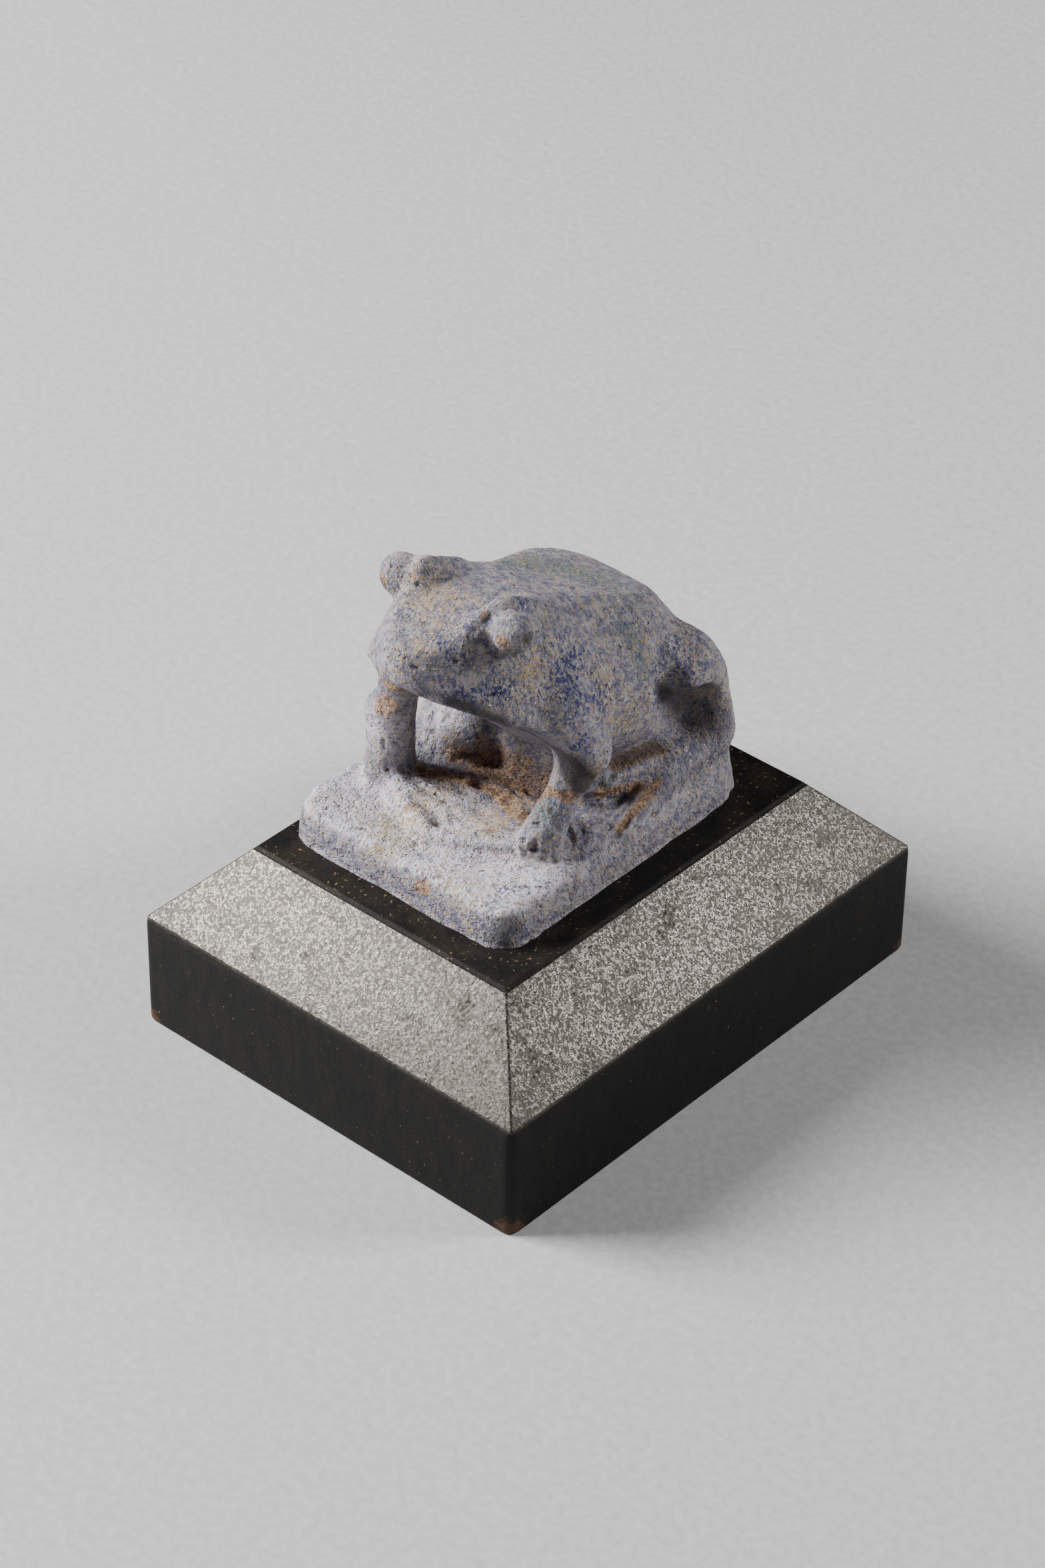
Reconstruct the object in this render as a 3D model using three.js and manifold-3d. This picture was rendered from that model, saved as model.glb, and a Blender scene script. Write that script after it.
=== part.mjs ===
// Frog amulet on its display plinth.
// The amulet is one carved piece: a squatting frog on its own rounded base plate.
// It rests, unfastened, on a separate bevelled wooden plinth.
// Units are millimetres and +Z is up. The frog faces -Y, so its left side is +X.
// The origin is the middle of the plinth's underside.
import * as THREE from "three";
import { mergeVertices } from "three/addons/utils/BufferGeometryUtils.js";
import Module from "manifold-3d";

const wasm = await Module();
wasm.setup();

// Driving dimensions of the amulet
const PLATE_WIDTH = 35.8;
const PLATE_LENGTH = 46.8;
const PLATE_THICKNESS = 5.2;
const PLATE_FRONT_CORNER_RADIUS = 4.4;
const PLATE_REAR_CORNER_RADIUS = 7;
const PLATE_REAR_TAPER = 0.7;
const PLATE_EDGE_ROUND = 1.1;
const PLATE_BATTER = 0.1;
const FROG_HEIGHT = 34;

// Driving dimensions of the plinth
const SIDE_MARGIN = 2;
const END_MARGIN = 3.7;
const PLINTH_WALL_HEIGHT = 15.2;
const BEVEL_RISE = 10.7;
const BEVEL_RUN = 10.1;
const PLINTH_CORNER_RADIUS = 1.6;
const PLINTH_EDGE_ROUND = 0.5;
const MITRE_ROUND = 0.3;

// The amulet stands this far off the middle of the plinth's top, towards its own right.
const AMULET_SHIFT = 1.5;

// Worked out from the driving dimensions
const PLINTH_HEIGHT = PLINTH_WALL_HEIGHT + BEVEL_RISE;
const PLINTH_WIDTH = PLATE_WIDTH + 2 * (SIDE_MARGIN + BEVEL_RUN);
const PLINTH_LENGTH = PLATE_LENGTH + 2 * (END_MARGIN + BEVEL_RUN);

// The carver's grid: the frog's height is 34 squares, and its carving is laid out in squares from
// the middle of the plate's top.
const GRID_SQUARES = 34;
const SQUARE = FROG_HEIGHT / GRID_SQUARES;

// In squares, how far the block that the frog is carved from reaches up, to each side, and to the
// front and rear.
const TOP_REACH = 34.4;
const SIDE_REACH = 17.5;
const END_REACH = 23.6;

// Faces of the carved surface are about this long, shorter across the frog and shortest about the
// face and the hands.
const FACET = 1.6;
const SIDE_FACET = 1.35;
const FINE_FACET = 1;

const { abs, hypot, max, min } = Math;

// The joining rules: each takes distances to surfaces, in squares, and the width of the fillet.
function blend(a, b, fillet) {
  const near = max(fillet - abs(a - b), 0) / fillet;
  return min(a, b) - (near * near * fillet) / 4;
}
const meet = (a, b, fillet) => -blend(-a, -b, fillet);
const carve = (a, b, fillet) => -blend(-a, b, fillet);

// Distance from a point to an ellipsoid that is pitched about X, nose up for a positive pitch.
function ellipsoid(x, y, z, [cx, cy, cz], [rx, ry, rz], pitch = 0) {
  const c = Math.cos(pitch);
  const s = Math.sin(pitch);
  const dx = x - cx;
  const dy = (y - cy) * c - (z - cz) * s;
  const dz = (y - cy) * s + (z - cz) * c;
  const near = hypot(dx / rx, dy / ry, dz / rz);
  const steep = hypot(dx / (rx * rx), dy / (ry * ry), dz / (rz * rz));
  return steep > 0 ? (near * (near - 1)) / steep : -min(rx, ry, rz);
}

// Distance to a tapering limb: a chain of points, each with its own radius.
function limb(x, y, z, chain) {
  let best = Infinity;
  for (let i = 1; i < chain.length; i++) {
    const [ax, ay, az, ar] = chain[i - 1];
    const [bx, by, bz, br] = chain[i];
    const [ex, ey, ez] = [bx - ax, by - ay, bz - az];
    const along = ((x - ax) * ex + (y - ay) * ey + (z - az) * ez) / (ex * ex + ey * ey + ez * ez);
    const t = min(max(along, 0), 1);
    best = min(best, hypot(x - ax - t * ex, y - ay - t * ey, z - az - t * ez) - (ar + t * (br - ar)));
  }
  return best;
}

// Distance to a half-space: positive outside the plane through a point, with an outward normal.
function plane(x, y, z, [nx, ny, nz], [px, py, pz]) {
  return ((x - px) * nx + (y - py) * ny + (z - pz) * nz) / hypot(nx, ny, nz);
}

// The back: level over the neck, sloping down from the shoulders and falling away over the rump.
function back(y, z) {
  const slope = plane(0, y, z, [0, 0.37, 1], [0, 0, 28.2]);
  const rump = plane(0, y, z, [0, 1.15, 1], [0, 16.8, 22.4]);
  const tail = plane(0, y, z, [0, 1, 0.3], [0, 21.6, 12]);
  return meet(meet(slope, rump, 3), tail, 4);
}

// A barrel with a flat back, a ridge along each side of the back and a belly cut away to the chest.
function trunk(x, y, z) {
  const side = abs(x);
  let d = ellipsoid(x, y, z, [0, 5.5, 15], [14.2, 20.5, 14.6], 0.32);
  d = meet(d, plane(side, y, z, [0.7, 0.1, 0.7], [5.9, 0.4, 28]), 1.5);
  d = meet(d, plane(side, y, z, [0, -0.92, -1], [0, -12.5, 16.8]), 3);
  d = meet(d, plane(side, y, z, [0.3, -0.2, -1], [9, 6, 5.2]), 1.6);
  d = meet(d, plane(side, y, z, [0.55, 0.65, 0.52], [8, 14, 21.8]), 2);
  return meet(d, back(y, z), 1.2);
}

// A flat-topped wedge: cheeks lean out to the jaw, and the snout is blunt.
function head(x, y, z) {
  const side = abs(x);
  const lean = 0.22 + 0.035 * max(y + 22.4, 0);
  let d = plane(side, y, z, [0, -0.257, 1], [0, -12.5, 31.9]);
  d = meet(d, back(y, z), 2.5);
  d = meet(d, plane(side, y, z, [0.617, -0.787, lean], [7.7, -19.4, 22.6]), 1.2);
  d = meet(d, plane(side, y, z, [1, -0.1, 0.35], [12.6, -12, 19]), 4);
  d = meet(d, plane(side, y, z, [0, -1, 0.05], [0, -23.8, 27]), 2.5);
  d = meet(d, plane(side, y, z, [0, -0.596, -1], [5, -21.9, 23.9]), 1.4);
  return meet(d, plane(side, y, z, [0, 1, 0], [0, 0, 22]), 6);
}

// A ball in each eye socket, under a brow that runs back from the snout's edge.
function eyes(x, y, z) {
  const side = abs(x);
  const ball = ellipsoid(side, y, z, [8.6, -12.1, 30.8], [2.7, 2.7, 2.7]);
  const brow = limb(side, y, z, [
    [4.8, -14.8, 30.5, 1.1],
    [6, -11.6, 33, 1.4],
    [6, -9, 31.4, 1.4],
    [6, -5.5, 29.8, 1.2],
  ]);
  return blend(ball, brow, 0.5);
}

// The left elbow is bent back; the right arm is a plain post, broken to a ledge at the elbow.
function arms(x, y, z) {
  const left = limb(x, y, z, [
    [11.8, -7.6, 19.2, 3.4],
    [13.5, -4.8, 12.8, 3],
    [12.6, -7.2, 7.6, 2.2],
    [11.4, -9.6, 2, 2.7],
  ]);
  const post = limb(x, y, z, [[-9.2, -9.6, 18.6, 4.8], [-11, -10.4, 13, 2.5], [-11.2, -11, 1, 2]]);
  const stump = limb(x, y, z, [[-11.6, -11.2, 12.6, 2.9], [-11.6, -11.2, 1, 3.1]]);
  return min(left, min(post, meet(stump, plane(0, y, z, [0, -0.2, 1], [0, -12, 11.9]), 0.6)));
}

// Both hands turn their fingers inwards on a low swelling of the plate.
function hands(x, y, z) {
  const finger = (wrist, tip) => limb(x, y, z, [[...wrist, 0.6, 1.8], [...tip, 0.6, 1.2]]);
  const left = [[1.2, -17.2], [3.4, -14.9], [4.6, -12.6]].map((tip) => finger([10.6, -12.2], tip));
  const right = [[-1, -16.8], [-0.8, -14], [1.2, -11.2]].map((tip) => finger([-11, -12.4], tip));
  const swelling = ellipsoid(x, y, z, [0, -8.5, -1.8], [15, 9.4, 3.2]);
  return blend(swelling, min(...left, ...right), 0.8);
}

// A haunch hanging over a hollow, the heel behind it and the long foot along the plate's edge.
function hindLegs(x, y, z) {
  const side = abs(x);
  const haunch = ellipsoid(side, y, z, [10, 15.2, 11.8], [5.9, 6.2, 6], 0.1);
  const heel = limb(side, y, z, [[11.4, 19, 10, 3], [12.6, 19.3, 3, 3.4]]);
  const foot = limb(side, y, z, [
    [12.8, 18, 1.8, 3.2],
    [13.7, 12, 2, 2.2],
    [14.5, 7, 1, 1.9],
    [15.2, 2.4, 0.1, 1.6],
    [15.7, -0.8, -0.7, 1.4],
  ]);
  return blend(blend(haunch, heel, 2), foot, 1);
}

// The stone left between belly and plate, with rough lumps beside it.
function ground(x, y, z) {
  const side = abs(x);
  const face = plane(side, y, z, [0.25, -1, 0.15], [0, -2.4, 0]);
  const cheek = plane(side, y, z, [1, 0, 0.35], [9.6, 0, 0]);
  const rear = meet(plane(side, y, z, [0, 1, 0], [0, 19, 0]), plane(side, y, z, [0, 0, 1], [0, 0, 9]), 1);
  const web = meet(meet(cheek, face, 3), rear, 1);
  const lumps = min(
    ellipsoid(side, y, z, [12.4, -4.6, -0.4], [3.4, 3.2, 2.8]),
    ellipsoid(side, y, z, [9, 8, 1.8], [4.2, 9.4, 5.8]),
    ellipsoid(x, y, z, [-9.5, -0.4, 2.4], [6.4, 4.8, 5.4]),
  );
  const rim = limb(x, y, z, [[-7.5, -8.6, 0.6, 1], [-2, -7, 0.8, 1.1], [4, -6, 0.6, 1]]);
  return blend(blend(web, lumps, 1), rim, 1);
}

// Distance to the whole frog, in squares.
function frog(x, y, z) {
  const side = abs(x);
  let d = blend(trunk(x, y, z), head(x, y, z), 2.5);
  d = carve(d, limb(side, y, z, [[6, -15.6, 30.3, 0.6], [7, -13.9, 32, 0.6]]), 0.6);
  d = blend(d, eyes(x, y, z), 1.2);
  d = blend(d, hindLegs(x, y, z), 1.5);
  d = carve(d, limb(side, y, z, [[12.6, 10.2, 19.2, 1], [13.8, 9.8, 15.6, 1.8], [14.2, 11, 10, 2.6]]), 0.8);
  d = carve(d, ellipsoid(side, y, z, [16.4, 13.6, 8.2], [5.4, 4.6, 4.6]), 0.6);
  d = blend(d, arms(x, y, z), 1.7);
  return blend(d, blend(ground(x, y, z), hands(x, y, z), 0.6), 0.8);
}

// Distance to the base plate, in millimetres, with z measured from its top. It runs on below its
// underside, where it is cut off flat.
function plate(x, y, z) {
  const radius = y < 0 ? PLATE_FRONT_CORNER_RADIUS : PLATE_REAR_CORNER_RADIUS;
  const lean = PLATE_BATTER * (z + PLATE_THICKNESS);
  const taper = PLATE_REAR_TAPER * (0.5 + y / PLATE_LENGTH);
  const dx = abs(x) - (PLATE_WIDTH / 2 - lean - taper) + radius;
  const dy = abs(y) - (PLATE_LENGTH / 2 - lean) + radius;
  const wall = hypot(max(dx, 0), max(dy, 0)) + min(max(dx, dy), 0) - radius;
  const qx = wall + PLATE_EDGE_ROUND;
  const qz = z + PLATE_EDGE_ROUND;
  return hypot(max(qx, 0), max(qz, 0)) + min(max(qx, qz), 0) - PLATE_EDGE_ROUND;
}

// Distance to the amulet, in millimetres, from the middle of its underside.
function amuletField(x, y, z) {
  const up = z - PLATE_THICKNESS;
  return blend(plate(x, y, up), SQUARE * frog(x / SQUARE, y / SQUARE, up / SQUARE), 1.2 * SQUARE);
}

// The skin of a field: one vertex in each grid cell that the surface crosses, set on the surface,
// and one quadrilateral for each grid edge that it crosses.
function skin(field, grid) {
  const n = grid.map((ticks) => ticks.length);
  const place = (a, i) => {
    const whole = Math.floor(i);
    const here = grid[a][whole];
    return i === whole ? here : here + (i - whole) * (grid[a][whole + 1] - here);
  };
  const at = (i, j, k) => (k * n[1] + j) * n[0] + i;
  const value = new Float64Array(n[0] * n[1] * n[2]);
  for (let k = 0; k < n[2]; k++)
    for (let j = 0; j < n[1]; j++)
      for (let i = 0; i < n[0]; i++) value[at(i, j, k)] = field(place(0, i), place(1, j), place(2, k));
  uncross(value, at);

  const points = [];
  const cell = new Int32Array(value.length).fill(-1);
  const corners = [0, 1, 2, 3, 4, 5, 6, 7].map((c) => [c & 1, (c >> 1) & 1, c >> 2]);
  for (let k = 0; k < n[2] - 1; k++)
    for (let j = 0; j < n[1] - 1; j++)
      for (let i = 0; i < n[0] - 1; i++) {
        const v = corners.map(([a, b, c]) => value[at(i + a, j + b, k + c)]);
        const sum = [0, 0, 0];
        let crossings = 0;
        corners.forEach((p, a) =>
          [1, 2, 4].forEach((bit, axis) => {
            const b = a | bit;
            if (a === b || v[a] < 0 === v[b] < 0) return;
            const t = v[a] / (v[a] - v[b]);
            p.forEach((c, m) => (sum[m] += c + (m === axis ? t : 0)));
            crossings++;
          }),
        );
        if (!crossings) continue;
        cell[at(i, j, k)] = points.length;
        points.push([i, j, k].map((c, m) => place(m, c + sum[m] / crossings)));
      }
  points.forEach((p) => settle(field, p, FINE_FACET / 2));

  const triangles = [];
  const apart = (a, b) => hypot(...points[a].map((c, m) => c - points[b][m]));
  const quad = (a, b, c, d) =>
    apart(a, c) < apart(b, d) ? triangles.push(a, b, c, a, c, d) : triangles.push(b, c, d, b, d, a);
  for (let k = 1; k < n[2] - 1; k++)
    for (let j = 1; j < n[1] - 1; j++)
      for (let i = 1; i < n[0] - 1; i++) {
        const inside = value[at(i, j, k)] < 0;
        const around = {
          x: [[i, j - 1, k - 1], [i, j, k - 1], [i, j, k], [i, j - 1, k]],
          y: [[i - 1, j, k - 1], [i - 1, j, k], [i, j, k], [i, j, k - 1]],
          z: [[i - 1, j - 1, k], [i, j - 1, k], [i, j, k], [i - 1, j, k]],
        };
        const next = { x: at(i + 1, j, k), y: at(i, j + 1, k), z: at(i, j, k + 1) };
        for (const axis of ["x", "y", "z"]) {
          if (inside === value[next[axis]] < 0) continue;
          const ring = around[axis].map((c) => cell[at(...c)]);
          quad(...(inside ? ring : ring.reverse()));
        }
      }
  return new THREE.BufferGeometry()
    .setAttribute("position", new THREE.BufferAttribute(new Float32Array(points.flat()), 3))
    .setIndex(triangles);
}

// Where inside and outside alternate round a grid square, four faces would share an edge, so the
// shallower of its two inside corners is put just outside, until no such square is left.
function uncross(value, at) {
  const squares = [[at(1, 0, 0), at(0, 1, 0)], [at(1, 0, 0), at(0, 0, 1)], [at(0, 1, 0), at(0, 0, 1)]];
  const justOutside = 0.01;
  let crossed = true;
  while (crossed) {
    crossed = false;
    for (let o = 0; o < value.length - at(1, 1, 1); o++)
      for (const [u, v] of squares) {
        const ring = [o, o + u, o + u + v, o + v].sort((a, b) => value[b] - value[a]);
        const inside = ring.filter((c) => value[c] < 0);
        const facing = inside.length === 2 && [u + v, abs(u - v)].includes(abs(inside[0] - inside[1]));
        if (facing) value[inside[0]] = justOutside;
        crossed ||= facing;
      }
  }
}

// Moves a point onto a field's surface along its slope, no further than reach.
function settle(field, p, reach) {
  const start = [...p];
  const e = 0.01;
  for (let round = 0; round < 3; round++) {
    const d = field(...p);
    const slope = [0, 1, 2].map((m) => {
      const q = [...p];
      q[m] += e;
      return (field(...q) - d) / e;
    });
    const steep = slope.reduce((sum, s) => sum + s * s, 0);
    if (steep < 1e-4) return;
    slope.forEach((s, m) => (p[m] -= (d * s) / steep));
  }
  const moved = hypot(...p.map((c, m) => c - start[m]));
  if (moved > reach) p.forEach((c, m) => (p[m] = start[m] + ((c - start[m]) * reach) / moved));
}

// A three.js geometry as a solid that can be joined and cut, and back.
function solidOf(geometry) {
  const bare = geometry.clone();
  bare.deleteAttribute("normal");
  bare.deleteAttribute("uv");
  const merged = mergeVertices(bare, 1e-4);
  const vertProperties = new Float32Array(merged.attributes.position.array);
  const triVerts = new Uint32Array(merged.index.array);
  return new wasm.Manifold(new wasm.Mesh({ numProp: 3, vertProperties, triVerts }));
}

function geometryOf(solid) {
  const mesh = solid.getMesh();
  const geometry = new THREE.BufferGeometry()
    .setAttribute("position", new THREE.BufferAttribute(mesh.vertProperties, 3))
    .setIndex(new THREE.BufferAttribute(mesh.triVerts, 1))
    .toNonIndexed();
  geometry.computeVertexNormals();
  return geometry;
}

// Grid lines from start, in runs that each reach to an end by steps of about the given length.
function ticks(start, ...runs) {
  const lines = [start];
  for (const [end, step] of runs) {
    const from = lines.at(-1);
    const count = Math.round((end - from) / step);
    for (let i = 1; i <= count; i++) lines.push(from + ((end - from) * i) / count);
  }
  return lines;
}

// The amulet: the carved surface, within its block, cut off flat along the plate's underside.
function makeAmulet() {
  const spare = 2 * FACET;
  const right = max(PLATE_WIDTH / 2, SIDE_REACH * SQUARE) + FACET;
  const rear = max(PLATE_LENGTH / 2, END_REACH * SQUARE) + FACET;
  const top = PLATE_THICKNESS + TOP_REACH * SQUARE + FACET;
  const block = (x, y, z) => max(abs(x) - right, abs(y) - rear, z - top, -spare - z);
  const field = (x, y, z) => max(amuletField(x, y, z), block(x, y, z));
  const [handsFrom, handsTo] = [PLATE_THICKNESS - SQUARE, PLATE_THICKNESS + 2 * SQUARE];
  const [eyesFrom, eyesFront, eyesBack] = [top - 8 * SQUARE, -17 * SQUARE, -8 * SQUARE];
  const upward = [[handsFrom, FACET], [handsTo, FINE_FACET], [eyesFrom, FACET], [top + spare, FINE_FACET]];
  const grid = [
    ticks(-right - spare, [right + spare, SIDE_FACET]),
    ticks(-rear - spare, [eyesFront, FACET], [eyesBack, FINE_FACET], [rear + spare, FACET]),
    ticks(-2 * spare, ...upward),
  ];
  const carved = solidOf(skin(field, grid));
  const aboveUnderside = new THREE.BoxGeometry(4 * right, 4 * rear, 2 * top).translate(0, 0, top);
  return geometryOf(carved.intersect(solidOf(aboveUnderside)));
}

// A level ring round the plinth: a rectangle with rounded corners, drawn in by inset.
function ring(inset, radius, z) {
  const [a, b] = [PLINTH_WIDTH / 2 - inset - radius, PLINTH_LENGTH / 2 - inset - radius];
  const corners = [[a, -b], [a, b], [-a, b], [-a, -b]];
  const arc = [0, 1, 2, 3, 4].map((i) => (i * Math.PI) / 8);
  return corners.flatMap(([x, y], turn) =>
    arc.map((angle) => {
      const t = angle + ((turn - 1) * Math.PI) / 2;
      return new THREE.Vector3(x + radius * Math.cos(t), y + radius * Math.sin(t), z);
    }),
  );
}

// A closed body through a stack of rings with equal counts, from the lowest up.
function loft(rings) {
  const n = rings[0].length;
  const points = rings.flat();
  const triangles = [];
  for (let level = 0; level < rings.length - 1; level++)
    for (let i = 0; i < n; i++) {
      const [a, b] = [level * n + i, level * n + ((i + 1) % n)];
      triangles.push(a, b, b + n, a, b + n, a + n);
    }
  const last = (rings.length - 1) * n;
  for (let i = 1; i < n - 1; i++) triangles.push(0, i + 1, i, last, last + i, last + i + 1);
  const geometry = new THREE.BufferGeometry().setFromPoints(points).setIndex(triangles).toNonIndexed();
  geometry.computeVertexNormals();
  return geometry;
}

// The plinth: upright walls with rounded corners, then four bevels that meet in crisp mitres, up to
// the small flat top.
function makePlinth() {
  const [edge, corner] = [PLINTH_EDGE_ROUND, PLINTH_CORNER_RADIUS];
  const slope = BEVEL_RUN / BEVEL_RISE;
  return loft([
    ring(edge, corner - edge, 0),
    ring(0.3 * edge, corner - 0.3 * edge, 0.3 * edge),
    ring(0, corner, edge),
    ring(0, corner, PLINTH_WALL_HEIGHT - edge),
    ring(edge * slope, MITRE_ROUND, PLINTH_WALL_HEIGHT + edge),
    ring(BEVEL_RUN - 0.3 * edge * slope, MITRE_ROUND, PLINTH_HEIGHT - 0.3 * edge),
    ring(BEVEL_RUN + 0.1 * edge, MITRE_ROUND, PLINTH_HEIGHT),
  ]);
}

const stone = new THREE.MeshStandardMaterial({ color: 0x7d7f96, roughness: 0.85, metalness: 0 });
const blackWood = new THREE.MeshStandardMaterial({ color: 0x14120f, roughness: 0.45, metalness: 0 });

const amulet = new THREE.Mesh(makeAmulet(), stone);
amulet.name = "frog_amulet";
amulet.position.set(-AMULET_SHIFT, 0, PLINTH_HEIGHT);
const plinth = new THREE.Mesh(makePlinth(), blackWood);
plinth.name = "plinth";

const part = new THREE.Group();
part.add(amulet, plinth);
export default part;
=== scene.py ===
# Frog amulet of blue frit on its black wooden plinth, seen from above its left front corner.
import math

import bmesh
import bpy
import numpy as np
from mathutils import Matrix, Vector, noise


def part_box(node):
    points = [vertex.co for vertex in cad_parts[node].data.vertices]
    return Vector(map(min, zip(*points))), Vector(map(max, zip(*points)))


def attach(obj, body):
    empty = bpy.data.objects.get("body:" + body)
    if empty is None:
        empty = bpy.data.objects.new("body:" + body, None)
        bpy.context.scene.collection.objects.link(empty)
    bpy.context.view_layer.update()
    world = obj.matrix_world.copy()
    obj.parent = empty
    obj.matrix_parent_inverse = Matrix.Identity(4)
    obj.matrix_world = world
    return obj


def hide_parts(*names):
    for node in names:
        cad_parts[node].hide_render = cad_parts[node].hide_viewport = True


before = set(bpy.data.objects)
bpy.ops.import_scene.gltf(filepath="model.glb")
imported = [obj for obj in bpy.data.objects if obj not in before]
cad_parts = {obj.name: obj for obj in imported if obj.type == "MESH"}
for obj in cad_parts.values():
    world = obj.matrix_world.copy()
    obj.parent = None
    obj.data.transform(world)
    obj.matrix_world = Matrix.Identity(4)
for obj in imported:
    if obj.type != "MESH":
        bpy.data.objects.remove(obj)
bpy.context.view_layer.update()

# Viewpoint
# A long macro lens about half a metre away, looking down on the front left corner of the plinth
# and turned a little off level.
view_azimuth = math.radians(41.26)
view_elevation = math.radians(36.31)
view_roll = math.radians(0.84)
view_distance = 0.5612
aim_right, aim_up = -0.0010, 0.0244
lens_mm = 103.95

turn = (
    Matrix.Rotation(view_azimuth, 3, "Z")
    @ Matrix.Rotation(math.pi / 2 - view_elevation, 3, "X")
    @ Matrix.Rotation(view_roll, 3, "Z")
)
camera = bpy.data.objects.new("camera", bpy.data.cameras.new("camera"))
camera.data.lens = lens_mm
camera.data.sensor_width = 36
camera.data.clip_start = 0.01
stand = turn @ Vector((aim_right, aim_up, view_distance))
camera.matrix_world = Matrix.Translation(stand) @ turn.to_4x4()
bpy.context.scene.collection.objects.link(camera)
bpy.context.scene.camera = camera

# Amulet
# The frog and its base plate are carved from one lump of blue frit, worn smooth on top and crumbling
# in the hollows below. It rests on the plinth by its own weight.
mm = 0.001
plate_thickness = 5.2
plate_half_width = 17.4
plate_half_length = 23.2
foot_slack = 0.002
touching = 1e-7
facet_rounds = 2

amulet_low, amulet_high = (Vector(corner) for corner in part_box("frog_amulet"))
plate_middle = (amulet_low + amulet_high) / 2
plate_middle.z = amulet_low.z + plate_thickness * mm


def merged_copy(name):
    """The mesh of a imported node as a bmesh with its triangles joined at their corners."""
    form = bmesh.new()
    form.from_mesh(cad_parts[name].data)
    bmesh.ops.remove_doubles(form, verts=form.verts, dist=touching)
    return form


def finished_mesh(form, name, *modifiers):
    """A mesh from a bmesh, after modifiers given as (type, settings)."""
    mesh = bpy.data.meshes.new(name)
    form.to_mesh(mesh)
    form.free()
    draft = bpy.data.objects.new(name, mesh)
    bpy.context.scene.collection.objects.link(draft)
    for kind, settings in modifiers:
        modifier = draft.modifiers.new(kind.title(), kind)
        for key, value in settings.items():
            setattr(modifier, key, value)
    finished = draft.evaluated_get(bpy.context.evaluated_depsgraph_get())
    shape = bpy.data.meshes.new_from_object(finished)
    bpy.data.objects.remove(draft)
    bpy.data.meshes.remove(mesh)
    shape.name = name
    return shape


def read(mesh, what, field):
    """A mesh's values of one kind, three in a row for each vertex."""
    values = np.empty(len(mesh.vertices) * 3, np.float32)
    getattr(mesh, what).foreach_get(field, values)
    return values.reshape(-1, 3).astype(float)


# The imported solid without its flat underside, its facets rounded off.
amulet_form = merged_copy("frog_amulet")
low_enough = amulet_low.z + 10 * touching
underside = [f for f in amulet_form.faces if all(v.co.z < low_enough for v in f.verts)]
bmesh.ops.delete(amulet_form, geom=underside, context="FACES")
bmesh.ops.join_triangles(
    amulet_form, faces=amulet_form.faces, angle_face_threshold=math.pi, angle_shape_threshold=math.pi
)
smoothing = {"levels": facet_rounds, "render_levels": facet_rounds}
amulet_mesh = finished_mesh(amulet_form, "carved_frog", ("SUBSURF", smoothing))

# Places are in millimetres from the middle of the plate's top. The frog faces -Y, its left is +X.
skin = read(amulet_mesh, "vertices", "co")
outward = read(amulet_mesh, "vertex_normals", "vector")
spots = (skin - np.array(plate_middle)) / mm


def ease(share):
    """0 below 0 and 1 above 1, with a smooth change between."""
    share = np.clip(share, 0, 1)
    return share * share * (3 - 2 * share)


def near(points, centre, reach):
    """1 at a place, falling smoothly to 0 at reach."""
    return ease(1 - np.linalg.norm(points - np.array(centre), axis=1) / reach)


def stroke(points, route, reach):
    """1 along a route of straight runs, falling smoothly to 0 at reach."""
    best = np.full(len(points), np.inf)
    for start, end in zip(route, route[1:]):
        run = np.subtract(end, start)
        share = np.clip((points - start) @ run / (run @ run), 0, 1)
        best = np.minimum(best, np.linalg.norm(points - start - share[:, None] * run, axis=1))
    return ease(1 - best / reach)


def grain(points, size, seed):
    """Smooth noise from about -1 to 1, with lumps of about the given size."""
    shift = Vector((seed * 7.3, seed * 3.1, seed * 5.7))
    return np.array([noise.noise(Vector(p) / size + shift) for p in points])


def union(*masks):
    """The strongest of several masks at each place."""
    return np.max(masks, axis=0)


def both_sides(centre, reach):
    """1 at a place on the frog's left and at its mirror place on the right."""
    mirrored = (-centre[0], centre[1], centre[2])
    return union(near(spots, centre, reach), near(spots, mirrored, reach))


# Uneven wear all over, stronger low down. Relief is in millimetres, outwards from the skin.
low_down = ease((8 - spots[:, 2]) / 6)
relief = 0.14 * grain(spots, 6.5, 1) + 0.1 * grain(spots, 2.4, 2) + 0.1 * grain(spots, 1.1, 3)
relief *= 0.6 + 0.4 * low_down

# Rough ground between the arms and the hind feet, and the broken left wrist.
crumbled = union(
    both_sides((13, -4.6, 1.5), 5.5),
    both_sides((11.4, 2, 2.6), 5.5),
    both_sides((15.6, -1, 0), 4),
    near(spots, (11.8, -10.2, 6), 4),
    near(spots, (12.5, -12, 1.5), 4),
    near(spots, (-11.5, -3, 3), 6),
    stroke(spots, [(-8, -8.8, 1.2), (-3, -7.2, 1.4), (2, -6.4, 1.2), (7, -6.6, 1)], 3),
)
relief -= crumbled * (1.3 * np.abs(grain(spots, 2.1, 4)) - 0.3 + 0.6 * np.abs(grain(spots, 1, 5)))

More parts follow.
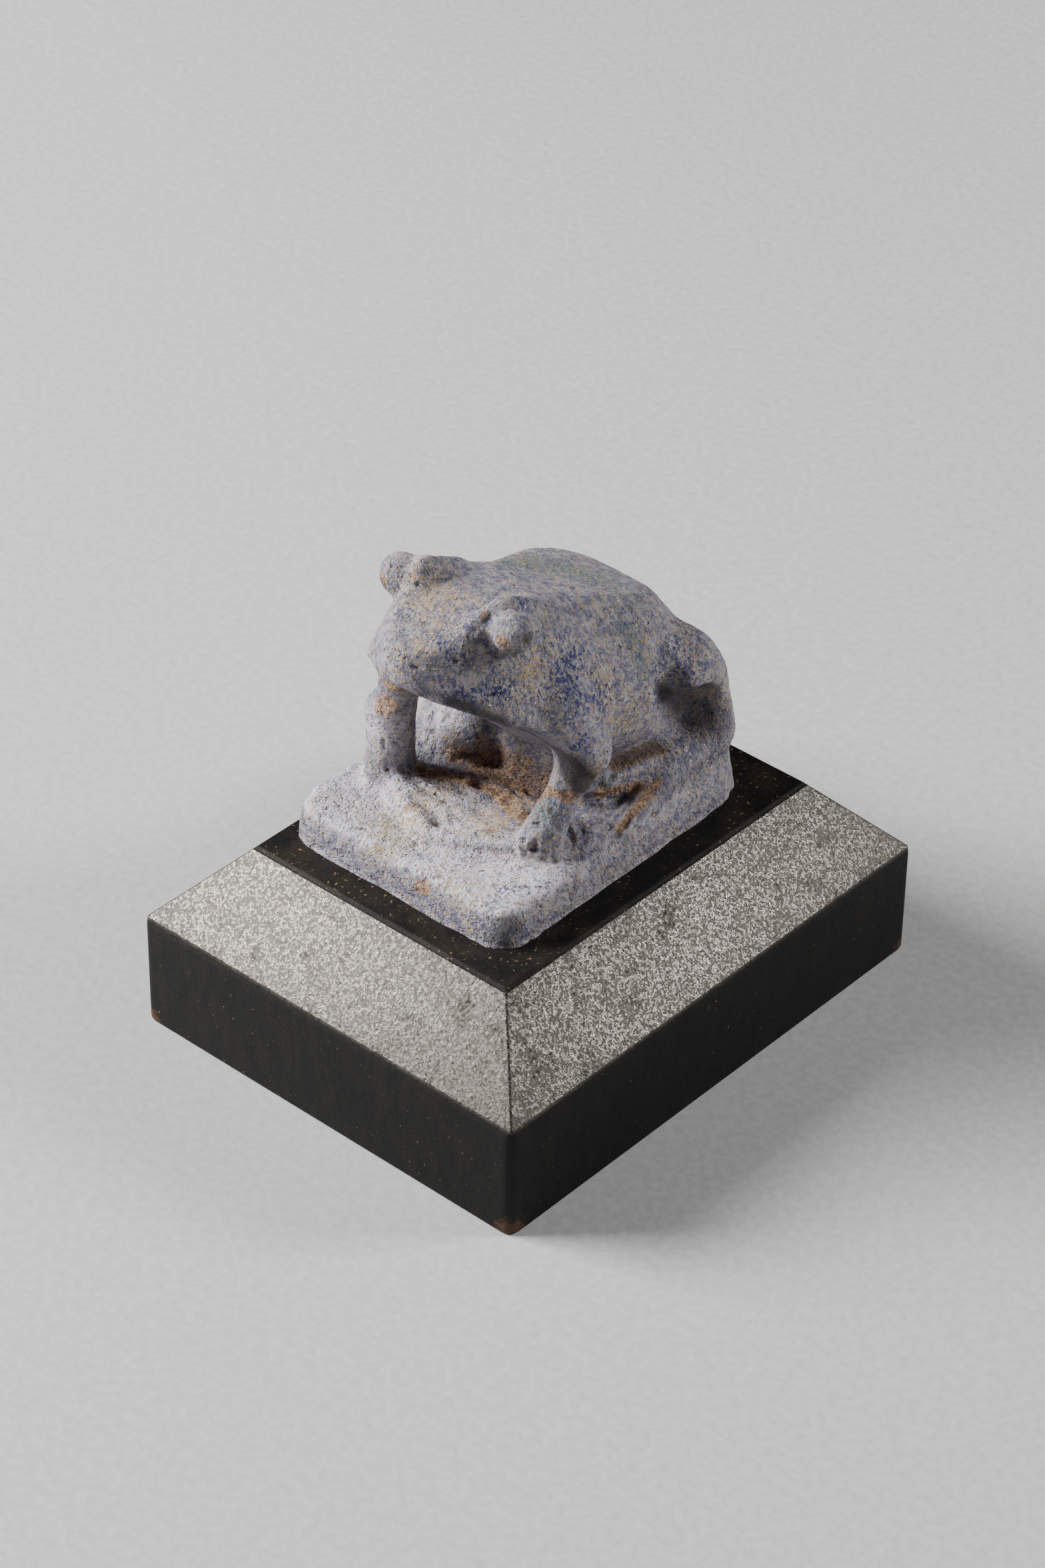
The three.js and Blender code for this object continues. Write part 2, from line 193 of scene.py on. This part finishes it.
# Furrows between the fingers and round the hands, each with a route, a reach and a depth, and the
# furrows between the toes of the hind feet.
furrows = [
    ([(1.4, -18.3, 0.7), (5.6, -16.9, 0.6), (9.2, -14.6, 0.8), (12.2, -12.6, 1.4)], 1.2, 0.35),
    ([(2.6, -15.9, 1.6), (6, -14.7, 1.6), (9.4, -12.9, 1.6)], 1.1, 0.3),
    ([(3.8, -13.4, 1.7), (7, -12.6, 1.8), (9.6, -11.4, 2)], 1.1, 0.3),
    ([(-9.8, -11.6, 2.3), (-4.5, -12.4, 2), (-0.4, -11.4, 1.9), (2.6, -10.6, 1.4)], 1.3, 0.35),
    ([(-9.6, -13.8, 1.6), (-5, -14.6, 1.5), (-0.6, -14.4, 1.4)], 1.1, 0.3),
    ([(-11.2, -14.6, 0.8), (-8.2, -16.4, 0.4), (-3, -17.8, 0.3)], 1.2, 0.4),
    ([(6.4, -17.6, 0.2), (10.5, -14.6, 0.1), (14.2, -10.8, 0.2)], 0.7, 0.35),
]
for route, reach, depth in furrows:
    relief -= depth * stroke(spots, route, reach)
for side in (-1, 1):
    for heel in (12.7, 14.3, 15.8):
        toe_gap = [
            (side * heel, 3.5, 1.2),
            (side * (heel + 0.4), -0.5, 0.6),
            (side * (heel + 0.8), -3.6, -0.4),
        ]
        relief -= 0.45 * stroke(spots, toe_gap, 0.8)

# Each eyeball is a round boss in a ring-shaped furrow, with a slot in front and a worn brow above.
# The left one stands out more.
eyeball_radius = 2.5
for side, depth in ((-1, 0.35), (1, 1)):
    eyeball = np.array((side * 8.9, -12.4, 30.9))
    away = np.linalg.norm(spots - eyeball, axis=1)
    boss = depth * ease((spots[:, 0] * side - 6.2) / 2) * ease((eyeball_radius + 1.1 - away) / 0.8)
    relief = relief * (1 - 0.6 * boss) + boss * (eyeball_radius - away) * 0.8
    relief -= 0.3 * depth * ease(1 - np.abs(away - eyeball_radius - 0.7) / 0.8)
    relief -= 0.35 * depth * stroke(spots, [(side * 5.4, -15.6, 30.9), (side * 6.2, -13.8, 32.4)], 0.8)
    relief -= 0.8 * depth * near(spots, (side * 5.8, -12, 34.3), 2.6)

# The fold between flank and haunch, the cleft under the belly, and the elbow with a dip below it.
for side in (-1, 1):
    relief -= 0.5 * stroke(spots, [(side * 12.6, 9.8, 19), (side * 13.2, 9.4, 16.4)], 1.3)
    cleft = [(side * 13.2, -2, 8), (side * 11.9, 3, 5.6), (side * 12, 7, 5.4), (side * 12.4, 11, 5)]
    relief -= 0.9 * stroke(spots, cleft, 1.7)
    relief += 0.5 * near(spots, (side * 16.4, -4.8, 12), 3)
    relief -= 0.4 * near(spots, (side * 14.2, -9, 8.2), 2.2)

# Chips along the plate's edges, more of them round its foot, and small pits all over.
inset = np.minimum(plate_half_width - np.abs(spots[:, 0]), plate_half_length - np.abs(spots[:, 1]))
on_plate = ease((1.5 - spots[:, 2]) / 1.5)
rim = on_plate * ease(1 - np.abs(inset - 0.4) / 1.6) * ease(1 - np.abs(spots[:, 2] + 0.6) / 1.8)
foot_edge = ease((1.3 - plate_thickness - spots[:, 2]) / 1.2)
relief -= 0.5 * rim * np.clip(grain(spots, 2.6, 6) + 0.05, 0, 1)
relief -= 0.4 * foot_edge * np.clip(grain(spots, 1.8, 7) + 0.1, 0, 1)
pits = np.clip(grain(spots, 0.9, 8) - 0.5, 0, 1)
relief -= 0.8 * pits

# The underside stays flat, and is closed with one face.
skin += outward * (relief * mm)[:, None]
skin[:, 2] = np.maximum(skin[:, 2], amulet_low.z)
at_foot = spots[:, 2] < foot_slack - plate_thickness
skin[at_foot, 2] = amulet_low.z
amulet_mesh.vertices.foreach_set("co", skin.astype(np.float32).ravel())

closing = bmesh.new()
closing.from_mesh(amulet_mesh)
bmesh.ops.holes_fill(closing, edges=[e for e in closing.edges if e.is_boundary], sides=0)
closing.to_mesh(amulet_mesh)
closing.free()
amulet_mesh.shade_smooth()

# Where each finish lies, from 0 to about 1: tan crust in the hollows, deep blue grains, the greener
# patches, the bleached chipped edges with painted light on parts of the plate and the far side, painted
# shade with some dark stains, and a dusting of tan grains.
hollows = ease((-0.05 - relief) / 0.5)
inside = ease((11.5 - np.abs(spots[:, 0])) / 3) * ease((spots[:, 1] + 8) / 4) * ease((21 - spots[:, 1]) / 4)
crust = union(
    0.6 * low_down * inside * ease((spots[:, 2] + 1) / 2),
    0.9 * stroke(spots, [(-9, -9.4, 1.4), (-3, -7.1, 1.8), (2, -6.6, 1.5), (7, -7.6, 1.2)], 2.6),
    near(spots, (-10.6, -13, 11.9), 3),
    0.8 * near(spots, (-9.5, -12.5, 16), 4),
    0.9 * near(spots, (15.2, -5, 10.6), 2.2),
    stroke(spots, [(14.6, -8.2, 8.2), (11.5, -9.1, 8.2), (9.6, -9.4, 6)], 1.5),
    0.9 * both_sides((9.5, 8, 1.6), 5),
    0.9 * stroke(spots, [(15.2, 7, 2.7), (15.6, 2.9, 1.7), (15.9, -1, 0.6)], 1.3),
    0.7 * stroke(spots, [(-13, 9, 2), (-14, 4.4, 1.4), (-15, -1.8, 0.6)], 1.7),
    0.9 * both_sides((9.3, -14.6, 30.9), 1.6),
    0.8 * both_sides((5.6, -13.8, 32.6), 1.1),
    0.9 * stroke(spots, [(11.9, 3, 5.4), (12.2, 7, 5), (12.6, 10.4, 4.6)], 1.9),
    0.8 * stroke(spots, [(11.4, 0.5, 2.4), (13.8, 5, 2.1)], 1.6),
    0.8 * near(spots, (4.7, -23.2, -1.7), 2.6),
    0.6 * near(spots, (-3, -22.4, -0.4), 2.2),
    0.7 * near(spots, (6, -12.8, 2), 2),
    0.6 * near(spots, (-4, -15.6, 1.5), 2.4),
    0.7 * near(spots, (14.6, -4.8, 19.2), 1.8),
)
cobalt = union(
    near(spots, (12.1, -5.7, 24.2), 6),
    near(spots, (14.5, -7.2, 21.9), 5),
    near(spots, (13.8, -2.9, 18.9), 5),
    0.8 * near(spots, (15.4, -6.4, 13), 4),
    0.8 * near(spots, (15, 12, 15.4), 5),
    near(spots, (15.2, -7.8, 16), 3),
    stroke(spots, [(9.8, -14.9, 24.5), (6.8, -19.2, 24.9)], 3),
    near(spots, (5.2, -18.6, 28.4), 2.6),
    near(spots, (3.4, -18.8, 30), 1.8),
    near(spots, (1.6, -21.9, 28.9), 1.7),
    near(spots, (-1.6, -19.8, 30), 1.3),
    near(spots, (6.8, -9.1, 32.7), 2.2),
    stroke(spots, [(13.9, 7.4, 18), (13.6, 8.2, 12)], 2),
    near(spots, (11.9, 13.4, 17.7), 2),
    near(spots, (16, -14.7, 0), 1.6),
    0.8 * near(spots, (14, -18, 0), 3),
    0.7 * near(spots, (-6, -11.6, 2), 4),
    0.6 * near(spots, (3, -21.5, -2.5), 4),
    near(spots, (15.9, -10.5, 0), 1.4),
    near(spots, (15.8, 16.2, 2.1), 2.4),
    near(spots, (-12.4, -4, 22), 6),
    near(spots, (-13.6, 8, 15), 3.5),
    near(spots, (-11, 15, 17), 3),
    near(spots, (0, 20.6, 12), 6),
)
teal = union(
    stroke(spots, [(-4, 3, 27), (-1, 7.5, 25.4), (3.4, 9.4, 24.6)], 6.5),
    0.8 * stroke(spots, [(10.6, 6, 22.8), (13.4, 5.6, 18.4)], 3),
    near(spots, (11.8, -10.2, 6), 3.6),
    0.6 * near(spots, (12, 1.5, 4), 3),
    near(spots, (11.7, -10.4, 6.1), 3.4),
    0.5 * near(spots, (-12.6, 2, 20), 5),
)
# Pale: bleached chipped edges, foot and front line of the plate, and painted light on the plate's upturned
# front, the far arm and the lump under the chin.
pale_and_lit = union(
    0.9 * near(spots, (-6.2, -11.4, 34), 1.8),
    0.9 * stroke(spots, [(0, -22.1, -0.2), (4.5, -22.4, -0.2), (10.4, -22.3, -0.2)], 1),
    0.6 * ease((-4.1 - spots[:, 2]) / 0.9) * ease(grain(spots, 2.2, 9) + 0.75),
    0.5 * rim * ease(grain(spots, 1.6, 10) + 0.4),
    ease((-8 - spots[:, 1]) / 6) * ease((3.5 - spots[:, 2]) / 2) * ease((outward[:, 2] - 0.2) / 0.5),
    0.6 * near(spots, (-8.8, -4.3, 6), 5),
    near(spots, (-10.4, -13.8, 8.4), 5.5),
)
# Painted shade: darker on faces turned down, under the eyes and the jaw, at the elbow, in the haunch folds
# and hollows, along the belly cleft and the side of the hind foot, and in the pits and low hollows, with
# some real dark stains.
overhung = ease((-0.1 - outward[:, 2]) / 0.5) * ease((spots[:, 2] - 5) / 3)
shade_and_stain = union(
    0.7 * both_sides((11.1, -12.5, 31.2), 2.2),
    0.6 * both_sides((9.4, -14.2, 30), 1.8),
    0.85 * stroke(spots, [(13.8, 8, 15.6), (12.2, 11.8, 11), (12, 14.4, 7.4)], 2.4),
    0.6 * stroke(spots, [(12.4, 13.2, 10), (12.6, 15.6, 6.4), (14.6, 17.6, 5.4)], 6.4),
    0.9 * stroke(spots, [(-13.6, 8.4, 15), (-12.2, 11.8, 11), (-12.6, 15.6, 6.4)], 3.6),
    0.4 * both_sides((15.4, 15, 10), 8),
    0.4 * stroke(spots, [(16, 5.9, 1.8), (15.8, 18.8, 1)], 3),
    0.3 * stroke(spots, [(14.4, -4, 16), (14.4, 3, 12)], 4),
    1.1 * stroke(spots, [(8.6, -12.5, 17), (13.6, -8.2, 13), (15.2, -6.5, 9.6)], 3.2),
    0.85 * stroke(spots, [(6.4, -19.8, 23.6), (9.9, -16.5, 21), (10, -12, 17.4)], 2.4),
    0.45 * stroke(spots, [(1.6, -22, 25.8), (6.4, -19.8, 23.6)], 2.2),
    0.8 * stroke(spots, [(12.4, -1.5, 7.4), (11.9, 3.5, 5.4), (12.4, 10.3, 4.8)], 2),
    0.5 * near(spots, (16.8, -20.8, -2.5), 3),
    0.5 * overhung,
    0.5 * ease((pits - 0.02) / 0.08),
    0.45 * hollows * low_down,
)
dusted = union(
    near(spots, (-2, -14, 31.5), 8),
    near(spots, (2, -20.6, 29), 4),
    0.8 * near(spots, (10.5, -10.3, 25.4), 5),
    0.6 * stroke(spots, [(13, -1.9, 20.6), (14, 0, 15), (14.1, 3.4, 15)], 5),
    near(spots, (15.5, -6, 11), 4),
    0.7 * near(spots, (14.6, 18, 9), 6),
    0.9 * near(spots, (-4, -19, 0.6), 9),
    1.3 * near(spots, (4, -12, 1.6), 6),
    1.2 * near(spots, (-4, -12, 1.6), 6),
    0.8 * near(spots, (9, -21, 0.4), 5),
)
finishes = {"crust": crust, "cobalt": cobalt, "teal": teal, "pale_and_lit": pale_and_lit, "shade_and_stain": shade_and_stain, "dusted": dusted}
for name, values in finishes.items():
    held = amulet_mesh.attributes.new(name, "FLOAT", "POINT")
    held.data.foreach_set("value", values.astype(np.float32))


class Socket:
    """A shader socket that adds Math nodes when it meets Python's operators."""

    def __init__(self, tree, link):
        self.tree = tree
        self.link = link

    def maths(self, operation, *others):
        """This value and any others through one Math node."""
        values = {str(i): value for i, value in enumerate((self, *others))}
        return self.node("ShaderNodeMath", {"operation": operation}, **values)

    def node(self, kind, settings=None, output=0, **sockets):
        """Adds a node, sets it up, fills its sockets by name or number, and gives one output."""
        made = self.tree.nodes.new(kind)
        for key, value in (settings or {}).items():
            setattr(made, key, value)
        for key, value in sockets.items():
            socket = made.inputs[int(key) if key.isdigit() else key.replace("_", " ")]
            if isinstance(value, Socket):
                self.tree.links.new(value.link, socket)
            else:
                socket.default_value = value
        return Socket(self.tree, made.outputs[output])

    def __add__(self, other):
        return self.maths("ADD", other)

    def __sub__(self, other):
        return self.maths("SUBTRACT", other)

    def __rsub__(self, other):
        return self.node("ShaderNodeMath", {"operation": "SUBTRACT"}, **{"0": other, "1": self})

    def __mul__(self, other):
        return self.maths("MULTIPLY", other)

    __radd__ = __add__
    __rmul__ = __mul__

    def step(self, low, high):
        """0 below low and 1 above high, with a smooth change between."""
        settings = {"interpolation_type": "SMOOTHSTEP"}
        return self.node("ShaderNodeMapRange", settings, Value=self, From_Min=low, From_Max=high)

    def noise(self, size_mm, detail=2.0, rough=0.5, stretch=(1, 1, 1)):
        """Noise with lumps of a size in millimetres, from 0 to 1."""
        place = self.node("ShaderNodeMapping", None, Vector=self, Scale=stretch)
        settings = {"Scale": 1 / (size_mm * mm), "Detail": detail, "Roughness": rough}
        return self.node("ShaderNodeTexNoise", None, Vector=place, **settings)

    def over(self, under, mask):
        """This colour laid over another where the mask is 1."""
        return self.node("ShaderNodeMix", {"data_type": "RGBA"}, 2, Factor=mask, **{"6": under, "7": self})


def colour(red, green, blue):
    """An sRGB colour from 0 to 255 as the linear colour that a shader takes."""
    shares = (red / 255, green / 255, blue / 255)
    return (*[((c + 0.055) / 1.055) ** 2.4 if c > 0.0404 else c / 12.92 for c in shares], 1)


def new_material(name, roughness, specular):
    """A material, its shader and its Object coordinates."""
    material = bpy.data.materials.new(name)
    material.use_nodes = True
    tree = material.node_tree
    shader = tree.nodes["Principled BSDF"]
    shader.inputs["Roughness"].default_value = roughness
    shader.inputs["Specular IOR Level"].default_value = specular
    place = Socket(tree, tree.nodes.new("ShaderNodeTexCoord").outputs["Object"])
    return material, shader, place


def plug(shader, name, value):
    """Drives one of a shader's sockets with a varying value."""
    value.tree.links.new(value.link, shader.inputs[name])


def attribute(place, name):
    """One of the finishes kept on the mesh."""
    return place.node("ShaderNodeAttribute", {"attribute_name": name}, 2)


def paint(place, shade):
    """A plain colour that can be laid over another."""
    return place.node("ShaderNodeCombineXYZ", None, X=shade[0], Y=shade[1], Z=shade[2])


def bumps(height, depth):
    """The normal of a surface whose fine relief has a depth."""
    return height.node("ShaderNodeBump", None, Height=height, Distance=depth, Strength=1.0)


# Frit: a mottled grey-blue body with tan, deep blue and white grains and small pinholes.
# The palest colour below also serves as painted light, and the darkest as painted shade.
light_frit = colour(166, 162, 170)
dark_frit = colour(108, 108, 130)
bleached_and_lit = colour(232, 227, 238)
greenish = colour(100, 114, 119)
ochre = colour(188, 160, 112)
deep_blue = colour(40, 46, 104)
light_crust = colour(192, 150, 108)
dark_crust = colour(112, 84, 60)
chalk = colour(232, 230, 226)
shade_dark = colour(44, 38, 42)
frit_grain_depth = 0.4 * mm

frit, frit_shader, place = new_material("blue_frit", 0.7, 0.4)
cloudy = place.noise(5, 3)
drifts = place.noise(2.6, 3, 0.6, (1, 0.8, 1.1))
mottled = place.noise(1.1, 4, 0.6)
tan_grit = place.noise(0.42, 3, 0.7)
blue_grit = place.noise(0.5, 3, 0.7, (1.1, 1, 0.9))
pitted = place.noise(0.7, 2, 0.6, (0.9, 1.1, 1))
body = paint(place, light_frit).over(dark_frit, mottled.step(0.36, 0.64))
# Lighter where bleached, with painted light on the plate's upturned front, the far arm and the lump under
# the chin.
pale_and_lit_share = attribute(place, "pale_and_lit") * mottled.step(0.2, 0.5)
body = paint(place, bleached_and_lit).over(body, pale_and_lit_share * 0.8)
green_share = attribute(place, "teal") * 0.85 * cloudy.step(0.15, 0.5)
body = paint(place, greenish).over(body, green_share)
dust_share = attribute(place, "dusted")
tan_share = (tan_grit * 1.05 + cloudy * 0.15 + mottled * 0.1 + dust_share * 0.09).step(0.67, 0.79)
body = paint(place, ochre).over(body, tan_share * 0.8)
blue_share = attribute(place, "cobalt")
blue_grains = (blue_grit * 0.95 + drifts * 0.35 + mottled * 0.1 + blue_share * 0.11).step(0.75, 0.87)
body = paint(place, deep_blue).over(body, blue_grains * (0.66 + blue_share * 0.3))
crust_share = (attribute(place, "crust") * 1.1 + mottled * 0.9 + cloudy * 0.6).step(1.05, 1.5)
crust_shade = paint(place, light_crust).over(dark_crust, tan_grit.step(0.4, 0.58))
body = crust_shade.over(body, crust_share * 0.8)
white_grains = place.noise(0.42, 1, 0.5, (1.1, 0.9, 1)).step(0.7, 0.75)
body = paint(place, chalk).over(body, white_grains * 0.7)
pinholes = place.noise(0.6, 1, 0.5, (0.9, 1.1, 1)).step(0.7, 0.76)
# Painted shade, with some dark stains, and dark pinholes, laid on in one dark colour.
shade_and_stain_share = (attribute(place, "shade_and_stain") * 1.2 + mottled * 0.4).step(0.35, 1.15)
dark_share = (shade_and_stain_share * 0.86 + pinholes * 0.6).maths("MINIMUM", 0.92)
body = paint(place, shade_dark).over(body, dark_share)
plug(frit_shader, "Base Color", body)
plug(frit_shader, "Roughness", 0.55 + mottled * 0.3)
grit_height = tan_grit * 0.9 + blue_grit * 0.6 + mottled * 0.5
frit_height = grit_height + pitted.step(0.3, 0.45) * 0.4 - pinholes * 0.8
plug(frit_shader, "Normal", bumps(frit_height, frit_grain_depth))

amulet_mesh.materials.clear()
amulet_mesh.materials.append(frit)
amulet = bpy.data.objects.new("carved_frog", amulet_mesh)
bpy.context.scene.collection.objects.link(amulet)
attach(amulet, "root")
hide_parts("frog_amulet")

# Plinth
# A block of wood with upright walls and four bevels up to a small flat top, painted black. The paint
# is brushed on the walls, wrinkled and rubbed to a grey sheen on the bevels, dusty on top, and worn
# brown along the bevels' lower edge and at the foot of the corners.
plinth_high = Vector(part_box("plinth")[1])
wall_height = 15.2 * mm
edge_band = 0.5 * mm
corner_band = 6 * mm
edge_width = 0.15 * mm
wrinkle_depth = 0.45 * mm
crisp = math.radians(16)
flat = math.radians(0.5)

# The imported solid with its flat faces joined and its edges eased.
edge_round = {"width": edge_width, "segments": 2, "limit_method": "ANGLE", "angle_limit": crisp}
plinth_form = merged_copy("plinth")
bmesh.ops.dissolve_limit(plinth_form, angle_limit=flat, verts=plinth_form.verts, edges=plinth_form.edges)
plinth_mesh = finished_mesh(plinth_form, "painted_plinth", ("BEVEL", edge_round))
plinth_mesh.shade_smooth()
plinth_mesh.set_sharp_from_angle(angle=crisp)

# Paint: black on the walls, a grey sheen with dark gaps on the bevels, bare wood where it is worn.
black_paint = colour(20, 17, 15)
deep_black = colour(9, 8, 7)
brownish_black = colour(44, 37, 29)
dark_sheen = colour(57, 54, 49)
light_sheen = colour(101, 97, 91)
bare_wood = colour(92, 66, 46)
dust = colour(160, 136, 96)

paintwork, paint_shader, place = new_material("black_paint", 0.5, 0.26)
streaks = place.noise(1.4, 3, 0.6, (1, 1, 0.3))
crackle = place.noise(0.42, 4, 0.7)
wrinkled = place.noise(0.75, 3, 0.6, (1, 1.1, 0.9))
blotches = place.noise(4, 3, 0.55)
across, along, height = (
    place.node("ShaderNodeSeparateXYZ", None, axis, Vector=place) for axis in range(3)
)
under_top = 1 - height.step(plinth_high.z - edge_band, plinth_high.z - edge_band * 0.6)
on_bevel = height.step(wall_height, wall_height + edge_band) * under_top
on_top = 1 - under_top
black = paint(place, black_paint).over(deep_black, streaks.step(0.36, 0.7))
# The top is browner in blotches.
black = paint(place, brownish_black).over(black, on_top * blotches.step(0.4, 0.65) * 0.6)
gaps = (crackle * 0.8 + wrinkled * 0.3 + blotches.step(0.5, 0.8) * 0.12).step(0.46, 0.7)
sheen = paint(place, dark_sheen).over(light_sheen, gaps)
coat = sheen.over(black, on_bevel)
above_edge = height.step(wall_height + edge_band, wall_height + 2 * edge_band)
at_edge = height.step(wall_height - edge_band, wall_height) * (1 - above_edge)
corner_reach = across.maths("ABSOLUTE") + along.maths("ABSOLUTE")
corner = plinth_high.x + plinth_high.y
corner_wear = corner_reach.step(corner - corner_band, corner) * (1 - height.step(0, corner_band))
worn = (at_edge * 0.35 + corner_wear * 0.75 + wrinkled * 0.7).step(0.72, 0.95)
coat = paint(place, bare_wood).over(coat, worn * 0.6)
specks = (place.noise(0.45, 2, 0.6, (1, 0.9, 1.1)) + on_top * blotches * 0.12).step(0.71, 0.78)
coat = paint(place, dust).over(coat, specks * 0.6)
plug(paint_shader, "Base Color", coat)
plug(paint_shader, "Roughness", 0.7 - on_bevel * 0.5 + on_bevel * gaps * 0.14)
plug(paint_shader, "Metallic", on_bevel * (0.9 - gaps * 0.15))
paint_height = (crackle * 0.6 + wrinkled * 0.4) * (0.3 + on_bevel * 0.7) - gaps * on_bevel * 0.2
plug(paint_shader, "Normal", bumps(paint_height, wrinkle_depth))

plinth_mesh.materials.clear()
plinth_mesh.materials.append(paintwork)
plinth = bpy.data.objects.new("painted_plinth", plinth_mesh)
bpy.context.scene.collection.objects.link(plinth)
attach(plinth, "root")
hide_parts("plinth")

# Floor and light
# A plain pale sheet under the plinth, a large soft light at the front left, a small one behind on
# the right, and a faint even light all round.
floor_half = 1.5
floor_form = bmesh.new()
bmesh.ops.create_grid(floor_form, x_segments=1, y_segments=1, size=floor_half)
floor = bpy.data.objects.new("floor", finished_mesh(floor_form, "floor"))
sheet, sheet_shader, place = new_material("pale_floor", 0.9, 0.2)
light_fibre = paint(place, colour(208, 208, 207))
dark_fibre = colour(198, 198, 197)
plug(sheet_shader, "Base Color", light_fibre.over(dark_fibre, place.noise(1.2, 3).step(0.35, 0.65)))
floor.data.materials.append(sheet)
bpy.context.scene.collection.objects.link(floor)

light_aim = Vector((0, 0, 0.03))


def soft_light(name, direction, distance, width, height, watts):
    """A rectangular light that faces the amulet from a direction."""
    lamp = bpy.data.lights.new(name, "AREA")
    lamp.shape = "RECTANGLE"
    lamp.size = width
    lamp.size_y = height
    lamp.energy = watts
    towards = Vector(direction).normalized()
    shown = bpy.data.objects.new(name, lamp)
    turned = towards.to_track_quat("Z", "Y").to_matrix().to_4x4()
    shown.matrix_world = Matrix.Translation(light_aim + towards * distance) @ turned
    bpy.context.scene.collection.objects.link(shown)


soft_light("key", (-0.72, -0.48, 0.51), distance=0.9, width=0.45, height=0.4, watts=21)
soft_light("back", (0.63, 0.61, 0.48), distance=0.9, width=0.24, height=0.18, watts=6)
world = bpy.data.worlds.new("studio")
world.use_nodes = True
surround = world.node_tree.nodes["Background"]
surround.inputs["Color"].default_value = colour(200, 202, 206)
surround.inputs["Strength"].default_value = 0.03
bpy.context.scene.world = world
